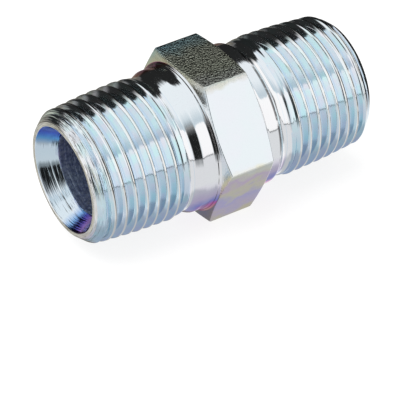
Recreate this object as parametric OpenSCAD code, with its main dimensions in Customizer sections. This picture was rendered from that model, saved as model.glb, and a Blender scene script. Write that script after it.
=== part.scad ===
// Hydraulic hose fitting: a straight double-ended adapter, turned in one piece from
// hexagon bar. Each end has a right-hand taper pipe thread, rolled on the turned
// shank, and a conical seat in its mouth. One plain bore joins the two mouths.
// +X runs along the bore from the near mouth to the far one, and +Z is the normal of
// the upper flat of the hexagon. The origin is the middle of the piece, on its axis.

/* [Pipe thread] */
// Major diameter of the thread in its gauge plane
thread_d = 16.66; // [14:0.01:24]
// Distance of the gauge plane from the end face
gauge_length = 6.4; // [5:0.1:8]
// Distance between neighbouring crests (19 threads per inch)
thread_pitch = 1.337; // [1:0.001:1.8]
// Height of the thread from root to crest
thread_depth = 0.86; // [0.5:0.01:1.1]
// Length along the axis in which the diameter grows by 1
taper_ratio = 16; // [12:0.5:30]
// Length of full thread, from the end face
thread_length = 10.4; // [8:0.1:16]
// Length in which the thread dies out on the shank
runout_length = 0.9; // [0.6:0.1:2]
// Width of the flat on the crest
crest_w = 0.16; // [0.05:0.01:0.3]
// Width of the flat in the root
root_w = 0.24; // [0.1:0.01:0.4]
// Angle about the axis at which a crest would start on the near face
near_start = -4; // [-180:1:180]
// The same angle at the far face, seen with that face turned to the front
far_start = -147; // [-180:1:180]

/* [Mouth] */
// Outer diameter of the flat rim round the mouth
rim_d = 14.0; // [13.4:0.1:15]
// Length of the steep chamfer behind the rim
nose_length = 0.62; // [0.3:0.01:1]
// Angle of that chamfer from the axis
nose_angle = 41; // [20:1:60]
// Diameter that the low first crests start from, at the end face
lead_d = 15.58; // [14.6:0.01:16]
// Angle from the axis at which the first crests grow to their full height
lead_angle = 5; // [3:0.5:12]
// Diameter of the conical seat at the end face
seat_d = 12.6; // [11:0.1:13]
// Included angle of the conical seat
seat_angle = 60; // [45:1:90]
// Diameter of the through bore
bore_d = 9.9; // [6:0.1:10.6]

/* [Shank] */
// Diameter of the plain shank behind the thread
shank_d = 16.06; // [15.6:0.02:16.4]
// Length of the plain shank from the end of the thread to the ramp
shank_length = 1.12; // [0.3:0.02:4]
// Length of the ramp from the shank up to the collar
ramp_length = 1.05; // [0.5:0.05:2]
// Diameter of the collar against the hexagon
collar_d = 17.08; // [16.6:0.02:17.6]
// Length of the plain collar behind the ramp
collar_length = 1.28; // [0.8:0.02:6]
// Length of the short cone from the collar up to the flank of the hexagon
foot_length = 0.56; // [0.2:0.02:1.2]
// Radial height of that cone
foot_h = 0.42; // [0.1:0.02:0.5]

/* [Hexagon] */
// Width of the hexagon across its flats
hex_af = 18.2; // [18:0.1:24]
// Width along the axis of the sharp edges at its corners
hex_edge_w = 5.5; // [3:0.1:12]
// Angle of the turned chamfer on its flanks, from a plane square to the axis
hex_chamfer = 15.5; // [8:0.5:35]

/* [Hidden] */
zinc = "#c9d3dc";
round_fn = 96;

// Straight segments in one turn of the thread
turn_steps = 36;
// Rows of points in one pitch: two edges of the crest, then two edges of the root
pitch_rows = 4;
// Length in which the thread starts under the nose, and laps into the shank
lap = 0.3;
// Length in which the rows of points that lie under the nose are gathered
gather_w = 0.2;
// Depth of the covered ends of the thread under the turned surface
cover = 0.06;

hex_r = hex_af / sqrt(3);
rim_r = rim_d / 2;
bore_r = bore_d / 2;
shank_r = shank_d / 2;
collar_r = collar_d / 2;
foot_r = collar_r + foot_h;
flank_slope = tan(hex_chamfer);
flank_x = hex_edge_w / 2 + (hex_r - foot_r) * flank_slope;
runout_end = thread_length + runout_length;
shank_end = runout_end + shank_length;
ramp_end = shank_end + ramp_length;
collar_end = ramp_end + collar_length;
half_length = collar_end + foot_length + flank_x;
seat_depth = (seat_d - bore_d) / 2 / tan(seat_angle / 2);

// Radii of the turned nose and of the thread at a distance x from the end face
function nose_r(x) = rim_r + x * tan(nose_angle);
function lead_r(x) = lead_d / 2 + x * tan(lead_angle);
function full_r(x) = thread_d / 2 + (x - gauge_length) / taper_ratio / 2;
function crest_r(x) = min(full_r(x), lead_r(x), nose_r(x));
function root_r(x) = full_r(x) - thread_depth;

// Rows of points run along the helix, from one pitch before rows_start to rows_end
rows_start = nose_length - lap;
rows_end = runout_end + lap;
row_offsets = [0, crest_w, (thread_pitch + crest_w - root_w) / 2, (thread_pitch + crest_w + root_w) / 2];
rows = pitch_rows * ceil((rows_end - rows_start) / thread_pitch + 2);
function is_root(row) = row % pitch_rows >= 2;
function first_crest(start) =
    let (crest_x = -thread_pitch * start / 360 - crest_w / 2, limit = rows_start - thread_pitch)
    crest_x - thread_pitch * ceil((crest_x - limit) / thread_pitch);
function helix_x(step, row, start) = first_crest(start) + row_offsets[row % pitch_rows]
    + thread_pitch * (floor(row / pitch_rows) + step / turn_steps);

// Rows that would start before the nose are gathered into a short band inside it
gather_from = rows_start - 2 * thread_pitch;
gather_to = rows_start + gather_w;
function gathered(x) = x >= gather_to ? x
    : rows_start + gather_w * (x - gather_from) / (gather_to - gather_from);

// Share of the full thread height that is left at x, and the radius of one point
function strength(x) = min(1, max(0, (runout_end - x) / runout_length));
function open_r(x, row) = is_root(row) ? min(root_r(x), crest_r(x)) : crest_r(x);
function thread_r(x, row) =
    let (base = shank_r - cover)
    x < nose_length ? min(nose_r(x) - cover, open_r(x, row))
    : base + (open_r(x, row) - base) * strength(x);

function thread_point(step, row, start) =
    let (x = gathered(helix_x(step, row, start)), r = thread_r(x, row), a = 360 * step / turn_steps)
    [x, r * cos(a), r * sin(a)];

// Number of a point in the list, and of the two points that close the ends
function at(step, row) = step * (rows + 1) + row;
near_centre = turn_steps * (rows + 1);
far_centre = near_centre + 1;

// One pipe thread as a solid rod, with its small end at the face x = 0. The last step
// of each turn meets the first step one pitch further on.
module thread_rod(start) {
    last = turn_steps - 1;
    points = concat(
        [for (step = [0:last], row = [0:rows]) thread_point(step, row, start)],
        [[rows_start, 0, 0], [rows_end, 0, 0]]);
    sides = [for (step = [0:last - 1], row = [0:rows - 1])
        [at(step, row), at(step, row + 1), at(step + 1, row + 1), at(step + 1, row)]];
    seam = [for (row = [0:rows - pitch_rows - 1])
        [at(last, row), at(last, row + 1), at(0, row + 1 + pitch_rows), at(0, row + pitch_rows)]];
    seam_near = [for (row = [0:pitch_rows - 1]) [at(last, 0), at(0, row + 1), at(0, row)]];
    seam_far = [for (row = [rows - pitch_rows:rows - 1]) [at(0, rows), at(last, row), at(last, row + 1)]];
    near_cap = [for (step = [0:last]) [near_centre, at(step, 0), at((step + 1) % turn_steps, 0)]];
    far_cap = [for (step = [0:last]) [far_centre, at((step + 1) % turn_steps, rows), at(step, rows)]];
    polyhedron(points, concat(sides, seam, seam_near, seam_far, near_cap, far_cap), convexity = 10);
}

// A profile of [distance along the axis, radius] points, turned about the X axis
module turned(profile) {
    rotate([0, 90, 0]) rotate_extrude($fn = round_fn) polygon([for (p = profile) [p[1], p[0]]]);
}

// The chamfered nose that carries the rim and covers the start of the thread
module nose() {
    turned([[0, 0], [0, rim_r], [nose_length, nose_r(nose_length)], [nose_length, 0]]);
}

// The turned blank from the end of the thread to the middle of the hexagon
module shank() {
    core_x = thread_length - lap;
    turned([[core_x, 0], [core_x, root_r(core_x) - lap], [runout_end, shank_r], [shank_end, shank_r],
            [ramp_end, collar_r], [collar_end, collar_r], [half_length - flank_x, foot_r],
            [half_length, foot_r], [half_length, 0]]);
}

// Half of the piece, with its end face at x = 0
module threaded_end(start) {
    nose();
    thread_rod(start);
    shank();
}

// The hexagon, with a flat on top and its corners turned off at both flanks
module hexagon() {
    intersection() {
        rotate([0, 90, 0])
            linear_extrude(height = 2 * flank_x, center = true) rotate(30) circle(r = hex_r, $fn = 6);
        turned([[-flank_x, 0], [-flank_x, foot_r], [-hex_edge_w / 2, hex_r], [hex_edge_w / 2, hex_r],
                [flank_x, foot_r], [flank_x, 0]]);
    }
}

// The bore and the two conical seats, run past both faces
module passage() {
    mouth_x = half_length + lap;
    mouth_r = seat_d / 2 + lap * tan(seat_angle / 2);
    seat_x = half_length - seat_depth;
    turned([[-mouth_x, 0], [-mouth_x, mouth_r], [-seat_x, bore_r], [seat_x, bore_r],
            [mouth_x, mouth_r], [mouth_x, 0]]);
}

module fitting_body() {
    color(zinc) difference() {
        union() {
            hexagon();
            translate([-half_length, 0, 0]) threaded_end(near_start);
            rotate([0, 0, 180]) translate([-half_length, 0, 0]) threaded_end(far_start);
        }
        passage();
    }
}

fitting_body();
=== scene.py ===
"""Looks of a straight hydraulic hose fitting: bright zinc-plated steel under soft studio light.

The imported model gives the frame, its box and its one node. One smooth mesh stands for that
node: the hexagon, the turned shanks, both rolled pipe threads, the cone seats and the bore.
Sizes are in millimetres, as a turner's drawing has them, and become metres in the mesh.
"""

import logging
import math
from dataclasses import dataclass, field
from enum import Enum
from typing import Any, Callable, Optional

import bpy
import numpy as np
from mathutils import Matrix, Vector


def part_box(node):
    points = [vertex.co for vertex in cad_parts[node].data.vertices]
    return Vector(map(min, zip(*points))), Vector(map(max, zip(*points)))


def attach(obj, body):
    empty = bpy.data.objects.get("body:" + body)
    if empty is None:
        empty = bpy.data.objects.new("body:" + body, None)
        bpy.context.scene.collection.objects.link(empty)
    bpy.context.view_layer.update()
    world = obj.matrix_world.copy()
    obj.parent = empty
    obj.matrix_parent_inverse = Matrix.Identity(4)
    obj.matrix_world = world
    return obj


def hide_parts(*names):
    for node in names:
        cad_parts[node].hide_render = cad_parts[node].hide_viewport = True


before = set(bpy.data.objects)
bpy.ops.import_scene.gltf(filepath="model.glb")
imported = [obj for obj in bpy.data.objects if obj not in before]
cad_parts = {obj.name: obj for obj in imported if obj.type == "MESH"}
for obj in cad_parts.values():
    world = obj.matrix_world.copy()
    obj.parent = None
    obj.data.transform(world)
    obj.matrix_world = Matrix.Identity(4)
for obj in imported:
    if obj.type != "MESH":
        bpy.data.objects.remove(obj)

LOG = logging.getLogger("hose_fitting")
# One millimetre in metres, the hexagon's corners, and half the height of the film's scale in mm.
MM = 0.001
CORNERS = 6
BATH = 12.0
Grid = np.ndarray
Row = tuple[np.ndarray, np.ndarray]
Tree = bpy.types.NodeTree
Socket = bpy.types.NodeSocket


class Zone(Enum):
    """The differently worked surfaces of the piece; the value is the material's place."""

    THREAD = 0
    SHANK = 1
    HEXAGON = 2
    SEAT = 3
    BORE = 4


def turned_angles(uniform: int, near_corner: tuple[float, ...]) -> Grid:
    """Angles of the columns of points round the bore axis, in turns.

    Evenly spaced angles, with a few more beside each corner of the hexagon, which has
    its corners at every sixth of a turn from zero.

    Args:
        uniform: Number of evenly spaced columns, a multiple of 12.
        near_corner: Distances in degrees at which a corner gets columns on both sides.

    Returns:
        The sorted angles as shares of a turn, from 0 to under 1.
    """
    even = np.arange(uniform) / uniform
    corners = np.arange(CORNERS)[:, None] / CORNERS
    beside = np.array(near_corner)[None, :] / 360
    after, before = (corners + beside) % 1, (corners - beside) % 1
    return np.sort(np.concatenate([even, after.ravel(), before.ravel()]))


def soft_step(value: Grid, ease: float) -> Grid:
    """Clamps to 0..1 with rounded corners: a parabola within `ease` of each end.

    Args:
        value: Any array.
        ease: Half width of each rounded corner.

    Returns:
        The clamped array, of the same shape.
    """
    low = (value + ease) ** 2 / (4 * ease)
    high = 1 - (1 - value + ease) ** 2 / (4 * ease)
    out = np.clip(value, 0, 1)
    out = np.where(np.abs(value) < ease, low, out)
    return np.where(np.abs(value - 1) < ease, high, out)


def soft_min(first: Grid, second: Grid, ease: float) -> Grid:
    """The smaller of two arrays, with the change-over rounded.

    The mean of both, less half the length of (difference, ease). Part of the ease is
    put back, so that the rounding takes less off.

    Args:
        first: One array.
        second: The other array.
        ease: Size of the rounding.

    Returns:
        The rounded minimum.
    """
    put_back = ease * 0.3
    return (first + second - np.hypot(first - second, ease) + put_back) / 2


def bent(start: Any, corner: Any, end: Any, t: float) -> Any:
    """Point at the share t of a curve from start to end that is drawn towards a corner."""
    return (1 - t) ** 2 * start + 2 * t * (1 - t) * corner + t * t * end


@dataclass(frozen=True)
class Rows:
    """Rows of points along the surface; each holds one point for every column.

    Attributes:
        x: Distance along the bore axis, in mm, one line per row.
        r: Distance from the bore axis, in mm, of the same shape.
        depth: What the finish is painted by. On a thread it's the share of the depth
        below the crest. Elsewhere it's 0.5, and it's 2 on the shank's part of the
        thread's rows, -1 on a line of painted shade and -0.5 on a faint line of
        painted shade.
        zone: The zone of the strip that follows each row.
        helix: First and last row of the part whose rows run along the thread.
    """

    x: Grid
    r: Grid
    depth: Grid
    zone: Grid
    helix: tuple[int, int]


@dataclass
class PipeThread:
    """The rolled taper thread of one end, measured in mm from its end face.

    Attributes:
        start: Angle in degrees at which a crest would begin on the face.
        turn_sign: 1 at the near end and -1 at the far end, whose angle runs the other
            way when it is looked at from its own face.
        gauge_d: Diameter over the crests in the gauge plane.
        gauge_length: Distance of the gauge plane.
        pitch: Distance from crest to crest.
        depth: Height of the thread.
        taper: Growth of the radius with the distance.
        length: Distance at which the thread begins to run out.
        runout: Distance over which it runs out.
        crest_w: Width of the flat crest.
        root_w: Width of the flat root.
        rounding: Rounding of the corners of a flank, as a share of the flank.
        lead_d: Diameter of the low first crests at the face.
        lead_angle: Angle in degrees at which those crests rise.
        lead_ease: Rounding where they reach the full height.
        cut_ease: Rounding where the flanks meet them.
        crease: Depth of the crease that rolling leaves on a low crest.
        crease_w: Half width of the crease.
        crease_low: How much lower than full a crest with a whole crease is.
        blank_at: Distance of the step at the end of the blank that was rolled.
        blank_w: Width of that step.
        blank_h: Height of that step over the shank.
        blank_ease: Rounding of the step's corners, as a share of its width.
        shade_line_side: Pitches behind the crest between which a line of painted shade
            lies, on the flank that faces away and is seen edge-on.
        shade_line: Mark of a line of painted shade in the depth of a row.
        even: Mark of an even surface.
        even_below: Share of the thread left at which the run-out counts as even.
        even_gap: Distance under the nose at which the thread counts as even.
        plain: Mark of the shank behind the blank.
        rows_per_pitch: Number of rows in a pitch.
        crowd: How much the rows crowd at the crests and the roots.
        gather: Width of the band that holds the rows past either end.
    """

    start: float
    turn_sign: int
    gauge_d: float = 16.66
    gauge_length: float = 6.4
    pitch: float = 1.337
    depth: float = 0.86
    taper: float = 1 / 32
    length: float = 10.4
    runout: float = 0.9
    crest_w: float = 0.16
    root_w: float = 0.1
    rounding: float = 0.03
    lead_d: float = 15.58
    lead_angle: float = 5.0
    lead_ease: float = 0.02
    cut_ease: float = 0.04
    crease: float = 0.05
    crease_w: float = 0.07
    crease_low: float = 0.2
    blank_at: float = 11.66
    blank_w: float = 0.4
    blank_h: float = 0.19
    blank_ease: float = 0.12
    shade_line_side: tuple[float, float] = (0.03, 0.115)
    shade_line: float = -1.0
    even: float = 0.5
    even_below: float = 0.6
    even_gap: float = 0.02
    plain: float = 2.0
    rows_per_pitch: int = 18
    crowd: float = 0.6
    gather: float = 0.12

    def full_r(self, x: Grid) -> Grid:
        """Crest radius of the whole thread: it grows in proportion to the distance."""
        return self.gauge_d / 2 + (x - self.gauge_length) * self.taper

    def section(self, place: Grid) -> Grid:
        """Depth of the thread, as a share of its full depth, across one pitch.

        Zero on the crest, one in the root, straight flanks between, rounded corners.

        Args:
            place: Distance from the middle of a crest, in pitches.

        Returns:
            The share of the depth, from 0 to 1.
        """
        away = np.abs((place + 0.5) % 1 - 0.5) * self.pitch
        flank = (self.pitch - self.crest_w - self.root_w) / 2
        return soft_step((away - self.crest_w / 2) / flank, self.rounding)

    def rows(self, turn: Grid, nose_r: Callable[[Grid], Grid], shank_r: float, first: float,
             last: float) -> tuple[Grid, Grid, Grid]:
        """Points of the thread on rows that follow its helix.

        The distance of a row grows by one pitch in a turn. Rows that would start before
        `first` or end after `last` are drawn together into a short band there.

        Args:
            turn: Angles of the columns, as shares of a turn.
            nose_r: Function that gives the radius of the turned nose at a distance.
            shank_r: Radius of the plain shank behind the thread, in mm.
            first: Distance of the first row, in mm.
            last: Distance of the last row, in mm.

        Returns:
            Distances, radii and shares of the thread's depth, one line per row. The
            share is `shade_line` on the line of painted shade beside each crest, `even`
            where the thread runs out and `plain` behind the step of the blank that the
            thread was rolled on.
        """
        k = self.rows_per_pitch
        lead = -self.start / 360 * self.pitch
        begin = lead - self.pitch * math.ceil((lead - first + self.pitch) / self.pitch)
        count = k * math.ceil((last - first) / self.pitch + 2) + 1
        step = np.arange(count) / k
        step = step - self.crowd / (4 * math.pi) * np.sin(4 * math.pi * step)
        shift = turn if self.turn_sign > 0 else 1 - turn
        nominal = begin + self.pitch * (step[:, None] + shift[None, :])
        place = step[:, None] + np.zeros_like(nominal)
        x = self.gathered(nominal, first, last)
        strength = np.clip((self.length + self.runout - x) / self.runout, 0, 1)
        strength = strength * strength * (3 - 2 * strength)
        lead_r = self.lead_d / 2 + x * math.tan(math.radians(self.lead_angle))
        crest = soft_min(self.full_r(x), lead_r, self.lead_ease)
        whole = self.full_r(x) - self.depth * self.section(place)
        low = np.clip((self.full_r(x) - crest) / self.crease_low, 0, 1)
        beside = (place + 0.5) % 1 - 0.5
        crease = self.crease * low * np.exp(-(np.abs(beside) * self.pitch / self.crease_w) ** 2)
        cut = soft_min(whole, crest, self.cut_ease) - crease
        blank = shank_r + self.blank_h * soft_step((self.blank_at - x) / self.blank_w + 0.5, self.blank_ease)
        radius = blank + (cut - blank) * strength
        # A line of painted shade beside each crest, on the flank that faces away.
        behind = beside * self.turn_sign
        shade_lines = (behind > self.shade_line_side[0]) & (behind < self.shade_line_side[1])
        share = np.where(shade_lines, self.shade_line, self.section(place))
        even = (strength < self.even_below) | (nose_r(x) < radius + self.even_gap)
        share = np.where(even, self.even, share)
        return x, np.minimum(radius, nose_r(x)), np.where(x > self.blank_at, self.plain, share)

    def gathered(self, x: Grid, first: float, last: float) -> Grid:
        """Distances with those outside first..last drawn into a band of the gather width.

        Args:
            x: Distances of the rows as they follow the helix.
            first: Where the thread's rows may begin.
            last: Where they may end.

        Returns:
            Distances from first to last, of which those past an end lie in its band.
        """
        most_past = 3 * self.pitch
        inner = first + self.gather
        outer = last - self.gather
        low = inner + (x - inner) * self.gather / most_past
        high = outer + (x - outer) * self.gather / most_past
        return np.where(x < inner, low, np.where(x > outer, high, x))


@dataclass
class Fitting:
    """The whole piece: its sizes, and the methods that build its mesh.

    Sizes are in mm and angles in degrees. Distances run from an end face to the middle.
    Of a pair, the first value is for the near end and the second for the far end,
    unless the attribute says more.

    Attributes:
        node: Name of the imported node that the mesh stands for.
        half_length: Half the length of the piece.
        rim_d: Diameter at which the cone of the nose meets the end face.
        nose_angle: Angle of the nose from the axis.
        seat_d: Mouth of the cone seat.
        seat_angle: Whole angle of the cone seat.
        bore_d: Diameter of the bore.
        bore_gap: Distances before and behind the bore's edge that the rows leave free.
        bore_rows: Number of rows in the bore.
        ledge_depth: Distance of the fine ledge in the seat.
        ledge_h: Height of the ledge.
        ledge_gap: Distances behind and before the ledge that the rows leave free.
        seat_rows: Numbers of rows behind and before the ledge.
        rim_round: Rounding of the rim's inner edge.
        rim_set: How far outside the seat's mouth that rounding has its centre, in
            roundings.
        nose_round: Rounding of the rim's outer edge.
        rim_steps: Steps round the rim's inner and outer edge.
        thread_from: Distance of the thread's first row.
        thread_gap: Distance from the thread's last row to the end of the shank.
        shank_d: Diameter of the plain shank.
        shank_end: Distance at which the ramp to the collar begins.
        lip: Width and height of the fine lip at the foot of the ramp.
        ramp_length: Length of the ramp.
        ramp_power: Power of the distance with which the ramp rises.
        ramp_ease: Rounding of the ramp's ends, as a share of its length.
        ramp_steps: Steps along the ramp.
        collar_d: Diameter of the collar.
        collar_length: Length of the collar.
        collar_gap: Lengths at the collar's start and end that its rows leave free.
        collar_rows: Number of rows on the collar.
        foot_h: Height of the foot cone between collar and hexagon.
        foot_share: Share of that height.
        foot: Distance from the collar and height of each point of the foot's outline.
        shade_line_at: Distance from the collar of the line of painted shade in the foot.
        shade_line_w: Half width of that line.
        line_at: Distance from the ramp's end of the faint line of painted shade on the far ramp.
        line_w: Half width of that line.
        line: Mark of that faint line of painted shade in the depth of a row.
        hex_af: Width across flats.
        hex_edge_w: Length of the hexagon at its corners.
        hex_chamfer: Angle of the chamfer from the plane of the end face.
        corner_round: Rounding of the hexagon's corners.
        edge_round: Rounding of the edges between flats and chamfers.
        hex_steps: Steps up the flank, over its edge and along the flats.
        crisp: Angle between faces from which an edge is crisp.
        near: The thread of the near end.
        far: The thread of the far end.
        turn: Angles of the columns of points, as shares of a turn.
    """

    node: str
    half_length: float
    rim_d: float = 13.7
    nose_angle: float = 41.0
    seat_d: float = 12.6
    seat_angle: float = 60.0
    bore_d: float = 9.9
    bore_gap: tuple[float, float] = (0.06, 0.12)
    bore_rows: int = 9
    ledge_depth: float = 1.42
    ledge_h: float = 0.03
    ledge_gap: tuple[float, float] = (0.02, 0.03)
    seat_rows: tuple[int, int] = (7, 9)
    rim_round: float = 0.1
    rim_set: float = 1.1
    nose_round: float = 0.2
    rim_steps: tuple[int, int] = (4, 6)
    thread_from: float = 0.16
    thread_gap: float = 0.15
    shank_d: float = 16.06
    shank_end: float = 12.42
    lip: tuple[float, float] = (0.1, 0.012)
    ramp_length: float = 1.05
    ramp_power: tuple[float, float] = (1.0, 1.6)
    ramp_ease: float = 0.08
    ramp_steps: int = 12
    collar_d: float = 17.08
    collar_length: float = 1.28
    collar_gap: tuple[float, float] = (0.1, 0.04)
    collar_rows: int = 6
    foot_h: float = 0.42
    foot_share: tuple[float, float] = (1.0, 0.4)
    foot: tuple[tuple[float, float], ...] = (
        (0.02, 0.0), (0.06, 0.015), (0.16, 0.065), (0.27, 0.12), (0.295, 0.14), (0.315, 0.2),
        (0.325, 0.245), (0.345, 0.265), (0.43, 0.305), (0.52, 0.35), (0.55, 0.378))
    shade_line_at: float = 0.31
    shade_line_w: float = 0.03
    line_at: float = 0.02
    line_w: float = 0.2
    line: float = -0.5
    hex_af: float = 18.2
    hex_edge_w: float = 5.5
    hex_chamfer: float = 15.5
    corner_round: float = 0.3
    edge_round: float = 0.14
    hex_steps: tuple[int, int, int] = (5, 5, 4)
    crisp: float = 40.0
    near: PipeThread = field(default_factory=lambda: PipeThread(start=-4, turn_sign=1))
    far: PipeThread = field(default_factory=lambda: PipeThread(start=-147, turn_sign=-1))
    turn: Grid = field(default_factory=lambda: turned_angles(132, (0.45, 0.95)))

    def ring(self, x: float, r: float) -> Row:
        """One round row of points at a distance x with a radius r."""
        return np.full(self.turn.size, x), np.full(self.turn.size, r)

    def nose_r(self, x: Grid) -> Grid:
        """Radius of the turned nose: a cone from the rim."""
        return self.rim_d / 2 + x * math.tan(math.radians(self.nose_angle))

    def arc(self, centre: tuple[float, float], radius: float, first: float, last: float,
            steps: int) -> list[Row]:
        """Round rows along an arc in the plane of distance and radius.

        Args:
            centre: Distance and radius of the arc's centre, in mm.
            radius: Radius of the arc, in mm.
            first: Angle of its first point from the direction of the axis, in degrees.
            last: Angle of its last point, in degrees.
            steps: Number of points less one.

        Returns:
            A list of rows.
        """
        angles = np.radians(np.linspace(first, last, steps + 1))
        return [self.ring(centre[0] + radius * math.cos(a), centre[1] + radius * math.sin(a)) for a in angles]

    def mouth_rows(self) -> tuple[list[Row], list[Zone]]:
        """Rows from the middle of the bore to the outer edge of the rim, with their zones.

        Returns:
            The rows, and the zone of the strip that follows each of them.
        """
        half = math.radians(self.seat_angle / 2)
        depth = (self.seat_d - self.bore_d) / 2 / math.tan(half)
        bore_x = np.linspace(self.half_length, depth + self.bore_gap[1], self.bore_rows)
        rows = [self.ring(x, self.bore_d / 2) for x in bore_x]
        seat_x = np.concatenate([
            np.linspace(depth - self.bore_gap[0], self.ledge_depth + self.ledge_gap[0], self.seat_rows[0]),
            np.linspace(self.ledge_depth - self.ledge_gap[1], self.rim_round, self.seat_rows[1])])
        for x in seat_x:
            ledge = self.ledge_h * (x > self.ledge_depth)
            rows.append(self.ring(x, self.bore_d / 2 + (depth - x) * math.tan(half) - ledge))
        inner_r = self.seat_d / 2 + self.rim_round * self.rim_set
        inner = self.arc((self.rim_round, inner_r), self.rim_round, 225, 180, self.rim_steps[0])
        lean = math.radians(self.nose_angle)
        outer_r = self.rim_d / 2 - self.nose_round * (1 / math.cos(lean) - math.tan(lean))
        outer = self.arc((self.nose_round, outer_r), self.nose_round, 180, 90 + self.nose_angle,
                         self.rim_steps[1])
        zones = [Zone.BORE] * len(bore_x) + [Zone.SEAT] * len(seat_x)
        zones += [Zone.SHANK] * (len(inner) + len(outer))
        return rows + inner + outer, zones

    def hex_radius(self) -> Grid:
        """Radius of the hexagon at each column, with rounded corners.

        On a flat it is half the width across flats over the cosine of the angle from the
        flat's middle. Near a corner it is the far crossing of the ray with a small circle.

        Returns:
            The radii, in mm.
        """
        corner_r = self.hex_af / math.sqrt(3)
        centre = corner_r - self.corner_round / math.sin(math.radians(60))
        from_corner = ((self.turn * CORNERS + 0.5) % 1 - 0.5) / CORNERS * 2 * math.pi
        flat = self.hex_af / 2 / np.cos(math.pi / CORNERS - np.abs(from_corner))
        side = centre * np.sin(from_corner)
        arc = centre * np.cos(from_corner) + np.sqrt(np.maximum(self.corner_round ** 2 - side ** 2, 0))
        touch = math.atan2(self.corner_round * math.sin(math.pi / CORNERS),
                           centre + self.corner_round * math.cos(math.pi / CORNERS))
        return np.where(np.abs(from_corner) < touch, arc, flat)

    def shank_rows(self, end: int) -> tuple[list[Row], list[Zone]]:
        """Rows from the end of the thread to the middle of the hexagon, with their zones.

        The ramp up to the collar rises with a power of the distance, which is hollow at
        the far end, where the foot of the hexagon is lower too.

        Args:
            end: 0 for the near end and 1 for the far end.

        Returns:
            The rows, and the zone of the strip that follows each of them.
        """
        ramp_end = self.shank_end + self.ramp_length
        collar_end = ramp_end + self.collar_length
        shank, collar = self.shank_d / 2, self.collar_d / 2
        share, power = self.foot_share[end], self.ramp_power[end]
        lip_w, lip_h = self.lip
        rows = [self.ring(self.shank_end - lip_w, shank), self.ring(self.shank_end, shank + lip_h)]
        for t in np.linspace(0, 1, self.ramp_steps + 1)[1:]:
            rise = float(soft_step(np.array(t), self.ramp_ease)) ** power
            rows.append(self.ring(self.shank_end + self.ramp_length * t, shank + (collar - shank) * rise))
        collar_x = np.linspace(ramp_end + self.collar_gap[0], collar_end - self.collar_gap[1],
                               self.collar_rows)
        rows += [self.ring(x, collar) for x in collar_x]
        rows += [self.ring(collar_end + along, collar + up * share) for along, up in self.foot]
        hexagon = self.hexagon_rows(collar + self.foot_h * share)
        return rows + hexagon, [Zone.SHANK] * len(rows) + [Zone.HEXAGON] * len(hexagon)

    def hexagon_rows(self, foot: float) -> list[Row]:
        """Rows from the foot up the chamfered flank and over its edge to mid-hexagon.

        Args:
            foot: Radius at which the flank begins, in mm.

        Returns:
            The rows.
        """
        lean = math.radians(self.hex_chamfer)
        corner_x = self.half_length - self.hex_edge_w / 2
        corner_r = self.hex_af / math.sqrt(3)
        radius = self.hex_radius()
        foot_x = corner_x - (corner_r - foot) * math.tan(lean)
        edge_x = corner_x - (corner_r - radius) * math.tan(lean)
        start_x = edge_x - math.sin(lean) * self.edge_round
        start_r = radius - math.cos(lean) * self.edge_round
        end_x = edge_x + self.edge_round
        flank, edge, flat = (np.linspace(0, 1, steps + 1) for steps in self.hex_steps)
        rows = [self.ring(foot_x, foot)]
        rows += [(foot_x + (start_x - foot_x) * t, foot + (start_r - foot) * t) for t in flank[1:-1]]
        rows += [(bent(start_x, edge_x, end_x, t), bent(start_r, radius, radius, t)) for t in edge]
        rows += [(end_x + (self.half_length - end_x) * t, radius) for t in flat[1:]]
        return rows

    def half(self, thread: PipeThread) -> Rows:
        """Rows of one half, from the middle of the bore round the rim to mid-hexagon.

        Args:
            thread: The thread of that end.

        Returns:
            The rows, with the marks and the zones that they are painted by.
        """
        inside, inside_zones = self.mouth_rows()
        x, r, depth = thread.rows(self.turn, self.nose_r, self.shank_d / 2, self.thread_from,
                                  self.shank_end - self.thread_gap)
        outside, outside_zones = self.shank_rows(0 if thread is self.near else 1)
        outside_x = np.array([row[0] for row in outside])
        first = len(inside)
        last = first + len(x) - 1
        all_x = np.vstack([np.array([row[0] for row in inside]), x, outside_x])
        all_r = np.vstack([np.array([row[1] for row in inside]), r, np.array([row[1] for row in outside])])
        all_depth = np.full_like(all_x, thread.even)
        all_depth[first:last + 1] = depth
        outside_depth = all_depth[last + 1:]
        ramp_end = self.shank_end + self.ramp_length
        # Lines of painted shade: one in the foot, and a faint one on the far ramp.
        from_shade_line = outside_x - ramp_end - self.collar_length - self.shade_line_at
        outside_depth[np.abs(from_shade_line) < self.shade_line_w] = thread.shade_line
        if thread is self.far:
            from_line = outside_x - ramp_end - self.line_at
            outside_depth[np.abs(from_line) < self.line_w] = self.line
        zones = inside_zones + [Zone.THREAD] * len(x) + outside_zones
        return Rows(all_x, all_r, all_depth, np.array([z.value for z in zones]), (first, last))

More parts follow.
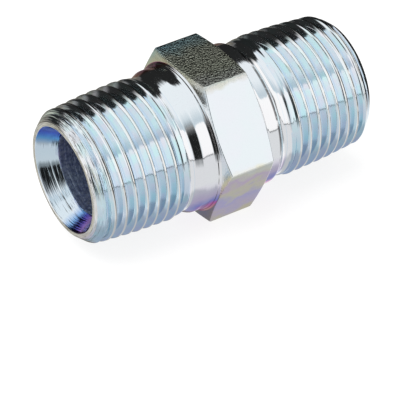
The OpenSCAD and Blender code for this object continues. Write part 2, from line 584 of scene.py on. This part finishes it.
    def mesh_data(self) -> tuple[Grid, Grid, Grid, Grid, Grid, Grid]:
        """Points and faces of the closed surface.

        The near half runs from mid-bore to mid-hexagon, and the far half runs back, so
        the rows close on themselves. Each strip between two rows is a ring of quads. In
        a thread, the last column meets the first one a pitch of rows further on, and a
        fan of triangles closes the ends of that seam.

        Returns:
            Points in metres, quads, triangles, the zone of each face, quads first, the
            lathe coordinate of each point (distance and radius in mm, and the cosine
            and sine of its angle), and the depth of each point in the thread.
        """
        near, far = self.half(self.near), self.half(self.far)
        x = np.vstack([near.x - self.half_length, (self.half_length - far.x)[::-1][1:-1]])
        r = np.vstack([near.r, far.r[::-1][1:-1]])
        depth = np.vstack([near.depth, far.depth[::-1][1:-1]])
        zone = np.concatenate([near.zone[:-1], far.zone[::-1][1:]])
        rows, columns = x.shape
        total = len(near.x) + len(far.x) - 1
        blocks = [near.helix, (total - 1 - far.helix[1], total - 1 - far.helix[0])]
        angle = 2 * math.pi * self.turn[None, :]
        points = np.stack([x, r * np.cos(angle), r * np.sin(angle)], axis=-1).reshape(-1, 3) * MM
        lathe = np.stack([x, r, np.cos(angle) + 0 * x, np.sin(angle) + 0 * x], axis=-1).reshape(-1, 4)
        k = self.near.rows_per_pitch
        row, column = np.meshgrid(np.arange(rows), np.arange(columns), indexing="ij")
        beside = np.full((rows, columns), 0)
        quads_ok = np.ones((rows, columns), dtype=bool)
        for first, last in blocks:
            beside[first:last, -1] = k
            quads_ok[last - k:last, -1] = False
        after = (row + 1) % rows
        following = (column + 1) % columns
        quads = np.stack([row * columns + column, after * columns + column,
                          ((row + beside + 1) % rows) * columns + following,
                          ((row + beside) % rows) * columns + following], axis=-1)[quads_ok]
        fans = []
        steps = np.arange(k)
        for first, last in blocks:
            end = np.full(k, first * columns + columns - 1)
            fans.append(np.stack([end, (first + steps + 1) * columns, (first + steps) * columns], axis=-1))
            side = (last - k + steps) * columns + columns - 1
            fans.append(np.stack([side, side + columns, np.full(k, last * columns)], axis=-1))
        triangles = np.concatenate(fans)
        zones = np.broadcast_to(zone[:, None], (rows, columns))[quads_ok]
        zones = np.concatenate([zones, np.full(len(triangles), Zone.THREAD.value)])
        return points, quads, triangles, zones, lathe, depth.ravel()

    def build(self) -> bpy.types.Object:
        """Makes the mesh object, smooth apart from its crisp edges, and reports it.

        Returns:
            The object, which is linked to the scene.
        """
        points, quads, triangles, zones, lathe, depth = self.mesh_data()
        mesh = bpy.data.meshes.new(self.node)
        loops = np.concatenate([quads.ravel(), triangles.ravel()])
        sizes = np.concatenate([np.full(len(quads), 4), np.full(len(triangles), 3)])
        starts = np.concatenate([[0], np.cumsum(sizes)[:-1]])
        mesh.vertices.add(len(points))
        mesh.vertices.foreach_set("co", points.ravel())
        mesh.loops.add(len(loops))
        mesh.loops.foreach_set("vertex_index", loops)
        mesh.polygons.add(len(sizes))
        mesh.polygons.foreach_set("loop_start", starts)
        mesh.polygons.foreach_set("material_index", zones)
        mesh.attributes.new("lathe", "FLOAT_VECTOR", "POINT").data.foreach_set("vector", lathe[:, :3].ravel())
        mesh.attributes.new("sine", "FLOAT", "POINT").data.foreach_set("value", lathe[:, 3].copy())
        mesh.attributes.new("depth", "FLOAT", "POINT").data.foreach_set("value", depth.copy())
        mesh.update(calc_edges=True)
        mesh.validate()
        mesh.shade_smooth()
        mesh.set_sharp_from_angle(angle=math.radians(self.crisp))
        piece = bpy.data.objects.new("turned_fitting", mesh)
        bpy.context.scene.collection.objects.link(piece)
        LOG.info("%s: %d points, %d faces", piece.name, len(points), len(sizes))
        return piece

    def dress(self, piece: bpy.types.Object) -> None:
        """Gives the piece one finish for each zone, at the zone's place."""
        for zone in Zone:
            piece.data.materials.append(FINISHES[zone].material())


def linear(hex_colour: str) -> tuple[float, float, float, float]:
    """Turns an sRGB hex colour into the linear values that a shader takes.

    Up to 0.04045, a part's share of 255 is divided by 12.92. Over that, 0.055 is added,
    the sum is divided by 1.055 and the result is raised to the power 2.4.

    Args:
        hex_colour: The colour as # and six digits.

    Returns:
        The three linear parts and full cover.
    """
    parts = [int(hex_colour[i:i + 2], 16) / 255 for i in (1, 3, 5)]
    turned = [c / 12.92 if c <= 0.04045 else ((c + 0.055) / 1.055) ** 2.4 for c in parts]
    return (turned[0], turned[1], turned[2], 1.0)


def add(tree: Tree, kind: str, settings: dict[Any, Any], links: dict[Any, Any]) -> bpy.types.Node:
    """Adds one node to a tree.

    Args:
        tree: The node tree.
        kind: The node's type name.
        settings: Values by name, set on an input of that name or else on the node.
        links: Output sockets by the name or number of the input that they feed.

    Returns:
        The new node.
    """
    node = tree.nodes.new(kind)
    for name, value in settings.items():
        if isinstance(name, int) or name in node.inputs:
            node.inputs[name].default_value = value
        else:
            setattr(node, name, value)
    for name, socket in links.items():
        tree.links.new(socket, node.inputs[name])
    return node


@dataclass(frozen=True)
class PlatedSteel:
    """Bright zinc plate with a clear blue passivate on turned or rolled steel.

    The eye sees a mirror-like grey metal. A film thinner than a wavelength gives it a
    faint tint, which drifts between sky blue, lilac and straw over a few millimetres
    and gets deeper where the bath ran off, along the upper and lower edges. On a
    thread's lower side and in the cone seat, that deeper and darker colour is partly
    painted shade.

    Attributes:
        name: Name of the material.
        film_and_shade: Colour of the film by level in the bath, in mm from the axis, low to
        high; at the thread's low end and at the seat's two ends it is partly painted shade.
        hung: Direction that pointed up while the piece hung in the bath.
        bored_r: Radius in mm at which the level is taken all over a bored cone, whose
            film follows the angle round the axis, or 0 where it's the real level.
        wander: How far the edges of the film's bands stray, in mm.
        patches: Two colours of the patches in the film.
        patch_size: Size of those patches, in mm.
        patch_rate: Number of changes between them in that size.
        patch_edge: Values of the noise at which one colour and the other are full.
        patch_share: How much the patches colour the film.
        roughness: Roughness of the plate.
        ring: Spacing of the turning marks in mm, or 0 where drawn bar shows its grain.
        ring_height: Height of the turning marks, in mm.
        ring_rate: How often the marks change round the axis.
        mouth_height: Height of those marks beside the near end face, in mm.
        mouth_from: Places along the axis between which they rise to it, in mm.
        grain: Size of the orange peel of drawn bar, in mm, as coarse as it needs to show.
        grain_height: Height of that grain, in mm.
        grain_from: Height over the axis from which the grain deepens, in mm.
        grain_fade: Height over which it does, in mm.
        grain_least: Share of the grain's height below that.
        crest: Colour of a thread's crests, partly rubbed plate and partly a painted highlight, or nothing.
        crest_depth: Shares of the depth at which that colour begins and is full.
        root: Colour of the film in a thread's roots, or nothing.
        root_depth: Shares of the depth at which that colour begins and is full.
        plain: Colour of the film on the shank behind a thread.
        plain_depth: Marks of the depth between which that colour comes in.
        shade_line: Colour of the lines of painted shade beside the crests and in the feet.
        shade_line_depth: Marks of the depth between which that colour comes in.
        shade_line_gap: Size of the gaps in a line of painted shade, in mm.
        shade_line_kept: Values of the noise at which a gap ends and the line is full.
        shade_line_z: Heights over the axis between which the painted shade gets dark, in mm.
        shade_line_least: How dark it is below that.
    """

    name: str
    film_and_shade: tuple[tuple[float, str], ...]
    hung: tuple[float, float, float] = (0.0, 0.628, 0.778)
    bored_r: float = 0.0
    wander: float = 0.8
    patches: tuple[str, str] = ("#f4dfee", "#ddf1ea")
    patch_size: float = 2.6
    patch_rate: float = 0.8
    patch_edge: tuple[float, float] = (0.4, 0.6)
    patch_share: float = 0.5
    roughness: float = 0.09
    ring: float = 0.0
    ring_height: float = 0.01
    ring_rate: float = 1.3
    mouth_height: float = 0.03
    mouth_from: tuple[float, float] = (-15.5, -18.0)
    grain: float = 0.2
    grain_height: float = 0.1
    grain_from: float = 8.4
    grain_fade: float = 0.5
    grain_least: float = 0.15
    crest: Optional[str] = None
    crest_depth: tuple[float, float] = (0.09, 0.02)
    root: Optional[str] = None
    root_depth: tuple[float, float] = (0.75, 1.0)
    plain: str = "#f8f8fa"
    plain_depth: tuple[float, float] = (1.3, 1.7)
    shade_line: str = "#24201c"
    shade_line_depth: tuple[float, float] = (-0.1, -0.6)
    shade_line_gap: float = 1.1
    shade_line_kept: tuple[float, float] = (0.32, 0.46)
    shade_line_z: tuple[float, float] = (-3.0, 1.0)
    shade_line_least: float = 0.1

    def material(self) -> bpy.types.Material:
        """Makes the node material.

        Returns:
            The material, which is named for the finish.
        """
        made = bpy.data.materials.new(self.name)
        made.use_nodes = True
        tree = made.node_tree
        shader = tree.nodes["Principled BSDF"]
        colour = self.tint(tree)
        if self.crest and self.root:
            colour = self.threaded(tree, colour)
        tree.links.new(self.shade_lines(tree, colour), shader.inputs["Base Color"])
        shader.inputs["Metallic"].default_value = 1.0
        shader.inputs["Roughness"].default_value = self.roughness
        relief = self.turning_marks(tree) if self.ring else self.bar_grain(tree)
        bump = add(tree, "ShaderNodeBump", {"Strength": 1.0, "Distance": MM}, {"Height": relief})
        tree.links.new(bump.outputs[0], shader.inputs["Normal"])
        return made

    def tint(self, tree: Tree) -> Socket:
        """Colours the film along the way the piece hung, broken up by noise and patches.

        At the thread's lower side and at the seat's ends, that colour is partly painted shade.

        Args:
            tree: The node tree of the material.

        Returns:
            The socket of the film's colour.
        """
        place = add(tree, "ShaderNodeTexCoord", {}, {}).outputs["Object"]
        drift = add(tree, "ShaderNodeTexNoise", {"Scale": 1 / (self.patch_size * MM), "Detail": 2.0},
                    {"Vector": place})
        level = add(tree, "ShaderNodeVectorMath", {"operation": "DOT_PRODUCT", 1: self.hung},
                    {0: self.round_place(tree) if self.bored_r else place})
        wander = add(tree, "ShaderNodeMath", {"operation": "MULTIPLY_ADD", 1: self.wander * MM},
                     {0: drift.outputs["Fac"], 2: level.outputs["Value"]})
        low, high = -BATH + self.wander / 2, BATH + self.wander / 2
        height = add(tree, "ShaderNodeMapRange", {"From Min": low * MM, "From Max": high * MM},
                     {"Value": wander.outputs[0]})
        ramp = add(tree, "ShaderNodeValToRGB", {}, {0: height.outputs[0]})
        self.set_film(ramp.color_ramp.elements)
        rate = self.patch_rate / (self.patch_size * MM)
        patch = add(tree, "ShaderNodeTexNoise", {"Scale": rate, "Detail": 3.0}, {"Vector": place})
        begin, full = self.patch_edge
        side = add(tree, "ShaderNodeMapRange", {"From Min": begin, "From Max": full},
                   {"Value": patch.outputs["Fac"]})
        first, second = linear(self.patches[0]), linear(self.patches[1])
        pair = add(tree, "ShaderNodeMix", {"data_type": "RGBA", 6: first, 7: second},
                   {0: side.outputs[0]})
        both = add(tree, "ShaderNodeMix",
                   {"data_type": "RGBA", "blend_type": "MULTIPLY", 0: self.patch_share},
                   {6: ramp.outputs[0], 7: pair.outputs[2]})
        return both.outputs[2]

    def set_film(self, stops: bpy.types.ColorRampElements) -> None:
        """Sets the film's stops: all places first, as the stops sort themselves by place.

        Args:
            stops: The stops of the colour ramp.
        """
        while len(stops) < len(self.film_and_shade):
            stops.new(0.5)
        for stop, (at, _) in zip(stops, self.film_and_shade):
            stop.position = (at + BATH) / (2 * BATH)
        for stop, (_, colour) in zip(stops, self.film_and_shade):
            stop.color = linear(colour)

    def round_place(self, tree: Tree) -> Socket:
        """Place of the point at the same angle on a circle of the bored radius.

        Args:
            tree: The node tree of the material.

        Returns:
            The socket of the place, in metres.
        """
        lathe = add(tree, "ShaderNodeAttribute", {"attribute_name": "lathe"}, {})
        sine = add(tree, "ShaderNodeAttribute", {"attribute_name": "sine"}, {})
        parts = add(tree, "ShaderNodeSeparateXYZ", {}, {0: lathe.outputs["Vector"]})
        unit = add(tree, "ShaderNodeCombineXYZ", {}, {"Y": parts.outputs["Z"], "Z": sine.outputs["Fac"]})
        place = add(tree, "ShaderNodeVectorMath", {"operation": "SCALE", "Scale": self.bored_r * MM},
                    {0: unit.outputs[0]})
        return place.outputs[0]

    def threaded(self, tree: Tree, film_and_shade: Socket) -> Socket:
        """Colours the roots, the crests with a painted highlight, and the shank behind a thread, by the
        points' depth.

        Args:
            tree: The node tree of the material.
            film_and_shade: The socket of the film's colour, with its painted shade.

        Returns:
            The socket of the colour with those laid over it.
        """
        depth = add(tree, "ShaderNodeAttribute", {"attribute_name": "depth"}, {})
        layers = ((self.root, self.root_depth), (self.crest, self.crest_depth),
                  (self.plain, self.plain_depth))
        for colour, (begin, full) in layers:
            share = add(tree, "ShaderNodeMapRange", {"From Min": begin, "From Max": full},
                        {"Value": depth.outputs["Fac"]})
            mix = add(tree, "ShaderNodeMix", {"data_type": "RGBA", 7: linear(colour)},
                      {0: share.outputs[0], 6: film_and_shade})
            film_and_shade = mix.outputs[2]
        return film_and_shade

    def shade_lines(self, tree: Tree, film_and_shade: Socket) -> Socket:
        """Paints shade on the lines beside the crests and in the feet, with gaps, darkest on the upper side.

        Args:
            tree: The node tree of the material.
            film_and_shade: The socket of the colour under the lines of painted shade.

        Returns:
            The socket of the colour with the lines of painted shade.
        """
        place = add(tree, "ShaderNodeTexCoord", {}, {}).outputs["Object"]
        gaps = add(tree, "ShaderNodeTexNoise", {"Scale": 1 / (self.shade_line_gap * MM), "Detail": 4.0},
                   {"Vector": place})
        begin, full = self.shade_line_kept
        kept = add(tree, "ShaderNodeMapRange", {"From Min": begin, "From Max": full},
                   {"Value": gaps.outputs["Fac"]})
        parts = add(tree, "ShaderNodeSeparateXYZ", {}, {0: place})
        low, high = self.shade_line_z
        upper = add(tree, "ShaderNodeMapRange",
                    {"From Min": low * MM, "From Max": high * MM, "To Min": self.shade_line_least},
                    {"Value": parts.outputs["Z"]})
        depth = add(tree, "ShaderNodeAttribute", {"attribute_name": "depth"}, {})
        begin, full = self.shade_line_depth
        line = add(tree, "ShaderNodeMapRange", {"From Min": begin, "From Max": full},
                   {"Value": depth.outputs["Fac"]})
        some = add(tree, "ShaderNodeMath", {"operation": "MULTIPLY"},
                   {0: kept.outputs[0], 1: upper.outputs[0]})
        share = add(tree, "ShaderNodeMath", {"operation": "MULTIPLY"},
                    {0: some.outputs[0], 1: line.outputs[0]})
        mix = add(tree, "ShaderNodeMix", {"data_type": "RGBA", 7: linear(self.shade_line)},
                  {0: share.outputs[0], 6: film_and_shade})
        return mix.outputs[2]

    def turning_marks(self, tree: Tree) -> Socket:
        """Height of the turning marks, in mm.

        They are noise that is fine along the axis and the radius, and long round the
        axis, at its real size, which is at the edge of what a pixel holds.

        Args:
            tree: The node tree of the material.

        Returns:
            The socket of the height.
        """
        lathe = add(tree, "ShaderNodeAttribute", {"attribute_name": "lathe"}, {}).outputs["Vector"]
        sine = add(tree, "ShaderNodeAttribute", {"attribute_name": "sine"}, {})
        rates = (1 / self.ring, 1 / self.ring, self.ring_rate)
        spread = add(tree, "ShaderNodeVectorMath", {"operation": "MULTIPLY", 1: rates}, {0: lathe})
        turn = add(tree, "ShaderNodeMath", {"operation": "MULTIPLY", 1: self.ring_rate},
                   {0: sine.outputs["Fac"]})
        marks = add(tree, "ShaderNodeTexNoise", {"noise_dimensions": "4D", "Scale": 1.0, "Detail": 2.0},
                    {"Vector": spread.outputs[0], "W": turn.outputs[0]})
        parts = add(tree, "ShaderNodeSeparateXYZ", {}, {0: lathe})
        begin, full = self.mouth_from
        height = add(tree, "ShaderNodeMapRange",
                     {"From Min": begin, "From Max": full,
                      "To Min": self.ring_height, "To Max": self.mouth_height},
                     {"Value": parts.outputs["X"]})
        relief = add(tree, "ShaderNodeMath", {"operation": "MULTIPLY"},
                     {0: marks.outputs["Fac"], 1: height.outputs[0]})
        return relief.outputs[0]

    def bar_grain(self, tree: Tree) -> Socket:
        """Height of the grain of drawn bar, in mm.

        It is full on the upper flat only, and a little coarser than the real grain, as
        a finer one doesn't show in a render of this size.

        Args:
            tree: The node tree of the material.

        Returns:
            The socket of the height.
        """
        place = add(tree, "ShaderNodeTexCoord", {}, {}).outputs["Object"]
        peel = add(tree, "ShaderNodeTexNoise", {"Scale": 1 / (self.grain * MM), "Detail": 3.0},
                   {"Vector": place})
        parts = add(tree, "ShaderNodeSeparateXYZ", {}, {0: place})
        low, high = self.grain_from * MM, (self.grain_from + self.grain_fade) * MM
        height = add(tree, "ShaderNodeMapRange",
                     {"From Min": low, "From Max": high,
                      "To Min": self.grain_height * self.grain_least, "To Max": self.grain_height},
                     {"Value": parts.outputs["Z"]})
        relief = add(tree, "ShaderNodeMath", {"operation": "MULTIPLY"},
                     {0: peel.outputs["Fac"], 1: height.outputs[0]})
        return relief.outputs[0]


# The thread's film gets bluer and darker towards the lower side, partly as painted shade.
THREAD_FILM_AND_SHADE = ((-8.4, "#b4c6ee"), (-7, "#c6deee"), (-4, "#e4f4fb"), (0, "#f2fbfd"), (8, "#f2fbfd"))
SHANK_FILM = (
    (-8.95, "#d89a90"), (-8.5, "#d868c0"), (-8.2, "#9296e6"), (-7.6, "#dccdec"),
    (-6.2, "#f8f8fa"), (7.85, "#fcfcfd"), (8.2, "#eca088"), (8.5, "#d488b4"))
HEXAGON_FILM = (
    (-10.4, "#e6dab8"), (-9.6, "#dacbe2"), (-8.9, "#cec4f0"), (-8.2, "#eae2c8"),
    (-7.5, "#e4cce6"), (-6.9, "#f0ecd8"), (-6.2, "#eef4f8"), (3.2, "#eef4f8"),
    (3.8, "#e2e2da"), (5.5, "#d8d8c2"), (8.5, "#d4d4c0"), (10.4, "#b0d6de"))
# The seat's dark purple and deep blue ends are partly painted shade inside the mouth.
SEAT_FILM_AND_SHADE = (
    (-6.0, "#7a3c90"), (-5.4, "#5a50b8"), (-4.8, "#7fb0e8"), (-3.8, "#eef4fa"),
    (3.0, "#d8e6f0"), (4.9, "#d0e2ee"), (5.45, "#6eb0ea"), (5.9, "#2a54cc"))
BORE_FILM = ((-5, "#dee6f4"), (0, "#dae4f0"), (5, "#e4e4f6"))

FINISHES: dict[Zone, PlatedSteel] = {
    # The thread's near-white crests are rubbed plate and partly a painted highlight.
    Zone.THREAD: PlatedSteel("rolled_zinc_plate", THREAD_FILM_AND_SHADE, patches=("#fbebf2", "#e8f8f6"), patch_size=1.3,
                             ring=0.25, ring_height=0.0005, mouth_height=0.26,
                             crest="#f6f5f2", root="#dfecf8"),
    # The shank's lines of painted shade are a little lighter than the thread's.
    Zone.SHANK: PlatedSteel("turned_zinc_plate", SHANK_FILM, patches=("#f8f6f8", "#f8fbfa"), patch_share=0.3,
                            ring=0.2, ring_height=0.006, mouth_height=0.26, shade_line="#3c3836"),
    Zone.HEXAGON: PlatedSteel("drawn_bar_zinc_plate", HEXAGON_FILM, wander=2.4, patch_size=2.2,
                              patch_share=0.1, roughness=0.12, grain=0.21, grain_height=0.11),
    Zone.SEAT: PlatedSteel("bored_zinc_plate", SEAT_FILM_AND_SHADE, bored_r=6.0, wander=0.5, patch_share=0.1,
                           ring=0.22, ring_height=0.06, mouth_height=0.06),
    Zone.BORE: PlatedSteel("drilled_zinc_plate", BORE_FILM, patches=("#b8bed0", "#ffffff"), patch_size=0.35,
                           patch_share=0.8, roughness=0.45, ring=0.3, ring_height=0.09),
}


@dataclass(frozen=True)
class Card:
    """A card of the set that only the metal sees, with soft edges.

    The plate doesn't see the white floor either, so that cards stand for it. The grey
    cards below the piece are painted shade, where the floor lies in the piece's shadow.

    Attributes:
        name: Name of the card.
        azimuth: Angles of its sides in degrees, from +X towards +Y.
        elevation: Angles of its lower and upper edge over the horizon, in degrees.
        soft: Angles in degrees over which the cover falls to nothing: at the sides, at
            the lower edge and at the upper edge.
        colour: Colour of the card.
        distance: Distance from the middle of the piece, in mm.
        steps: Number of faces along each side.
    """

    name: str
    azimuth: tuple[float, float]
    elevation: tuple[float, float]
    soft: tuple[float, float, float]
    colour: str
    distance: float = 500.0
    steps: int = 64

    def build(self) -> bpy.types.Object:
        """Makes the card: a patch of a sphere round the origin.

        Returns:
            The object, which is part of the set.
        """
        n = self.steps
        u, v = np.meshgrid(np.linspace(0, 1, n + 1), np.linspace(0, 1, n + 1))
        az = np.radians(self.azimuth[0] + (self.azimuth[1] - self.azimuth[0]) * u)
        el = np.radians(self.elevation[0] + (self.elevation[1] - self.elevation[0]) * v)
        points = np.stack([np.cos(el) * np.cos(az), np.cos(el) * np.sin(az), np.sin(el)], axis=-1)
        points = (points * self.distance).reshape(-1, 3) * MM
        wide, high = self.azimuth[1] - self.azimuth[0], self.elevation[1] - self.elevation[0]
        cover = np.clip(np.minimum(u, 1 - u) * wide / self.soft[0], 0, 1)
        cover = cover * np.clip(v * high / self.soft[1], 0, 1) * np.clip((1 - v) * high / self.soft[2], 0, 1)
        index = (np.arange(n)[:, None] * (n + 1) + np.arange(n)[None, :]).ravel()
        faces = np.stack([index, index + 1, index + n + 2, index + n + 1], axis=-1)
        mesh = bpy.data.meshes.new(self.name)
        mesh.from_pydata(points.tolist(), [], faces.tolist())
        edge = mesh.attributes.new("cover", "FLOAT", "POINT")
        edge.data.foreach_set("value", cover.ravel().astype(np.float32))
        mesh.materials.append(self.material())
        card = bpy.data.objects.new(self.name, mesh)
        bpy.context.scene.collection.objects.link(card)
        card.visible_camera = False
        card.visible_diffuse = False
        card.visible_shadow = False
        return card

    def material(self) -> bpy.types.Material:
        """Makes the card's material: its colour where it covers, clear at its soft edge.

        Returns:
            The material, which gives off its colour.
        """
        made = bpy.data.materials.new(self.name)
        made.use_nodes = True
        tree = made.node_tree
        tree.nodes.clear()
        cover = add(tree, "ShaderNodeAttribute", {"attribute_name": "cover"}, {})
        clear = add(tree, "ShaderNodeBsdfTransparent", {}, {})
        face = add(tree, "ShaderNodeEmission", {"Color": linear(self.colour)}, {})
        mix = add(tree, "ShaderNodeMixShader", {},
                  {0: cover.outputs["Fac"], 1: clear.outputs[0], 2: face.outputs[0]})
        add(tree, "ShaderNodeOutputMaterial", {}, {0: mix.outputs[0]})
        return made


CARDS: tuple[Card, ...] = (
    Card("horizon_seam", (-112.0, -12.0), (-6.4, -4.4), (6.0, 0.6, 0.6), "#30383e", distance=400.0),
    Card("camera_card", (-144.0, -107.0), (-8.0, 46.0), (5.0, 2.0, 18.0), "#1c1e1e", distance=430.0),
    Card("camera_halo", (-158.0, -104.0), (-20.0, 50.0), (12.0, 8.0, 16.0), "#8a8e90", distance=460.0),
    Card("right_card", (-17.0, 60.0), (-34.0, 15.0), (7.0, 8.0, 7.0), "#242626", distance=480.0),
    Card("back_card", (28.0, 112.0), (-22.0, 55.0), (8.0, 22.0, 2.5), "#232424"),
    Card("back_left_card", (92.0, 147.0), (-20.0, 29.0), (12.0, 20.0, 8.0), "#2a2a2a", distance=510.0),
    Card("left_low_card", (136.0, 152.0), (-21.0, -7.0), (5.0, 5.0, 5.0), "#332b36", distance=520.0),
    Card("nose_card", (142.0, 194.0), (25.0, 44.0), (9.0, 6.0, 4.0), "#38342f", distance=530.0),
    # Painted shade: grey for the floor in the piece's shadow, low at the left.
    Card("floor_shade_left_low", (95.0, 168.0), (-57.0, -40.0), (8.0, 6.0, 5.0), "#7e827e", distance=600.0),
    Card("left_floor", (98.0, 180.0), (-46.0, -4.0), (8.0, 6.0, 6.0), "#c9c7b9", distance=620.0),
    Card("back_floor", (52.0, 108.0), (-60.0, -2.0), (8.0, 10.0, 6.0), "#8a867c", distance=630.0),
    Card("front_floor", (-180.0, -8.0), (-60.0, -5.2), (4.0, 10.0, 0.4), "#dfe1e3", distance=640.0),
    Card("front_left_card", (-114.0, -84.0), (-4.0, 40.0), (8.0, 0.5, 8.0), "#e9eff2", distance=650.0),
    Card("silk_hem", (-180.0, 20.0), (40.0, 60.0), (10.0, 1.0, 14.0), "#c6d4dc", distance=690.0),
    Card("sky_silk", (-190.0, 190.0), (40.0, 90.0), (0.01, 1.2, 0.01), "#ebf2f6", distance=700.0),
    # Painted shade: grey for the floor in the piece's shadow right under it.
    Card("floor_shade_under", (-190.0, 190.0), (-90.0, -46.0), (0.01, 0.01, 12.0), "#bcc0c4", distance=800.0),
)


@dataclass(frozen=True)
class Studio:
    """Floor, light and camera.

    Attributes:
        camera_at: Place of the camera, in mm.
        aim: Point that it looks at, in mm.
        roll: Turn of the camera round its line of sight, in degrees.
        lens: Focal length, in mm.
        sensor: Width of the sensor, in mm.
        clip: Nearest and farthest distance that the camera sees, in m.
        floor_z: Height of the floor, in mm.
        floor_size: Side of the floor, in mm.
        floor_glow: Light that the floor gives off where it is seen.
        floor_colour: Colour of the floor.
        ambient: Strength of the surround as light.
        lamp_at: Place of the lamp, in mm.
        lamp_d: Diameter of the lamp, in mm.
        lamp_power: Power of the lamp, in W.
    """

    camera_at: tuple[float, float, float] = (-136.74, -226.71, 173.37)
    aim: tuple[float, float, float] = (-3.03, -3.67, -6.79)
    roll: float = -2.48
    lens: float = 249.18
    sensor: float = 36.0
    clip: tuple[float, float] = (0.01, 20.0)
    floor_z: float = -9.1
    floor_size: float = 3000.0
    floor_glow: float = 0.84
    floor_colour: str = "#7c7b7a"
    ambient: float = 0.8
    lamp_at: tuple[float, float, float] = (-120.0, 60.0, 420.0)
    lamp_d: float = 500.0
    lamp_power: float = 2.2

    def camera(self) -> None:
        """Places the camera by the place it looks from and the point it looks at."""
        data = bpy.data.cameras.new("camera")
        data.lens = self.lens
        data.sensor_width = self.sensor
        data.clip_start, data.clip_end = self.clip
        place = Vector(self.camera_at) * MM
        away = (place - Vector(self.aim) * MM).normalized()
        roll = Matrix.Rotation(math.radians(self.roll), 3, "Z").to_quaternion()
        camera = bpy.data.objects.new("camera", data)
        camera.rotation_mode = "QUATERNION"
        camera.rotation_quaternion = away.to_track_quat("Z", "Y") @ roll
        camera.location = place
        bpy.context.scene.collection.objects.link(camera)
        bpy.context.scene.camera = camera

    def seen(self, tree: Tree) -> Socket:
        """Gives 1 on rays from the camera, in gloss and through glass, else 0.

        Args:
            tree: The node tree of the floor or the surround.

        Returns:
            The socket of that value.
        """
        path = add(tree, "ShaderNodeLightPath", {}, {})
        some = add(tree, "ShaderNodeMath", {"operation": "MAXIMUM"},
                   {0: path.outputs["Is Camera Ray"], 1: path.outputs["Is Glossy Ray"]})
        every = add(tree, "ShaderNodeMath", {"operation": "MAXIMUM"},
                    {0: some.outputs[0], 1: path.outputs["Is Transmission Ray"]})
        return every.outputs[0]

    def world(self) -> None:
        """Makes the white surround: full white where it is seen, softer as light."""
        world = bpy.data.worlds.new("studio")
        world.use_nodes = True
        tree = world.node_tree
        level = add(tree, "ShaderNodeMapRange", {"To Min": self.ambient}, {"Value": self.seen(tree)})
        tree.links.new(level.outputs[0], tree.nodes["Background"].inputs["Strength"])
        tree.nodes["Background"].inputs["Color"].default_value = linear("#ffffff")
        bpy.context.scene.world = world

    def floor(self) -> None:
        """Makes the white floor, which still takes the soft shadow of the piece."""
        half, z = self.floor_size / 2 * MM, self.floor_z * MM
        corners = [(-half, -half, z), (half, -half, z), (half, half, z), (-half, half, z)]
        mesh = bpy.data.meshes.new("floor")
        mesh.from_pydata(corners, [], [(0, 1, 2, 3)])
        made = bpy.data.materials.new("floor")
        made.use_nodes = True
        tree = made.node_tree
        tree.nodes.clear()
        matt = add(tree, "ShaderNodeBsdfDiffuse", {"Color": linear(self.floor_colour)}, {})
        level = add(tree, "ShaderNodeMath", {"operation": "MULTIPLY", 1: self.floor_glow},
                    {0: self.seen(tree)})
        glow = add(tree, "ShaderNodeEmission", {}, {"Strength": level.outputs[0]})
        both = add(tree, "ShaderNodeAddShader", {}, {0: matt.outputs[0], 1: glow.outputs[0]})
        add(tree, "ShaderNodeOutputMaterial", {}, {0: both.outputs[0]})
        mesh.materials.append(made)
        floor = bpy.data.objects.new("floor", mesh)
        floor.visible_glossy = False
        bpy.context.scene.collection.objects.link(floor)

    def lamps(self) -> None:
        """Hangs one large soft lamp over the set; it lights matt surfaces only."""
        data = bpy.data.lights.new("soft_lamp", "AREA")
        data.shape = "DISK"
        data.size = self.lamp_d * MM
        data.energy = self.lamp_power
        lamp = bpy.data.objects.new("soft_lamp", data)
        lamp.location = Vector(self.lamp_at) * MM
        lamp.rotation_mode = "QUATERNION"
        lamp.rotation_quaternion = lamp.location.to_track_quat("Z", "Y")
        lamp.visible_glossy = False
        bpy.context.scene.collection.objects.link(lamp)

    def cards(self) -> None:
        """Stands the cards round the set that the bright plate mirrors."""
        for card in CARDS:
            card.build()


def main() -> None:
    """Builds the fitting, its finish and the studio, in that order."""
    logging.basicConfig(level=logging.INFO, format="%(message)s")
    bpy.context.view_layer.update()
    node = "fitting_body"
    low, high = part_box(node)
    studio = Studio()
    studio.camera()
    fitting = Fitting(node=node, half_length=(high[0] - low[0]) / 2 / MM)
    piece = fitting.build()
    fitting.dress(piece)
    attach(piece, "root")
    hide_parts(node)
    studio.world()
    studio.floor()
    studio.lamps()
    studio.cards()
    bpy.context.scene.view_settings.view_transform = "Standard"


if __name__ == "__main__":
    main()
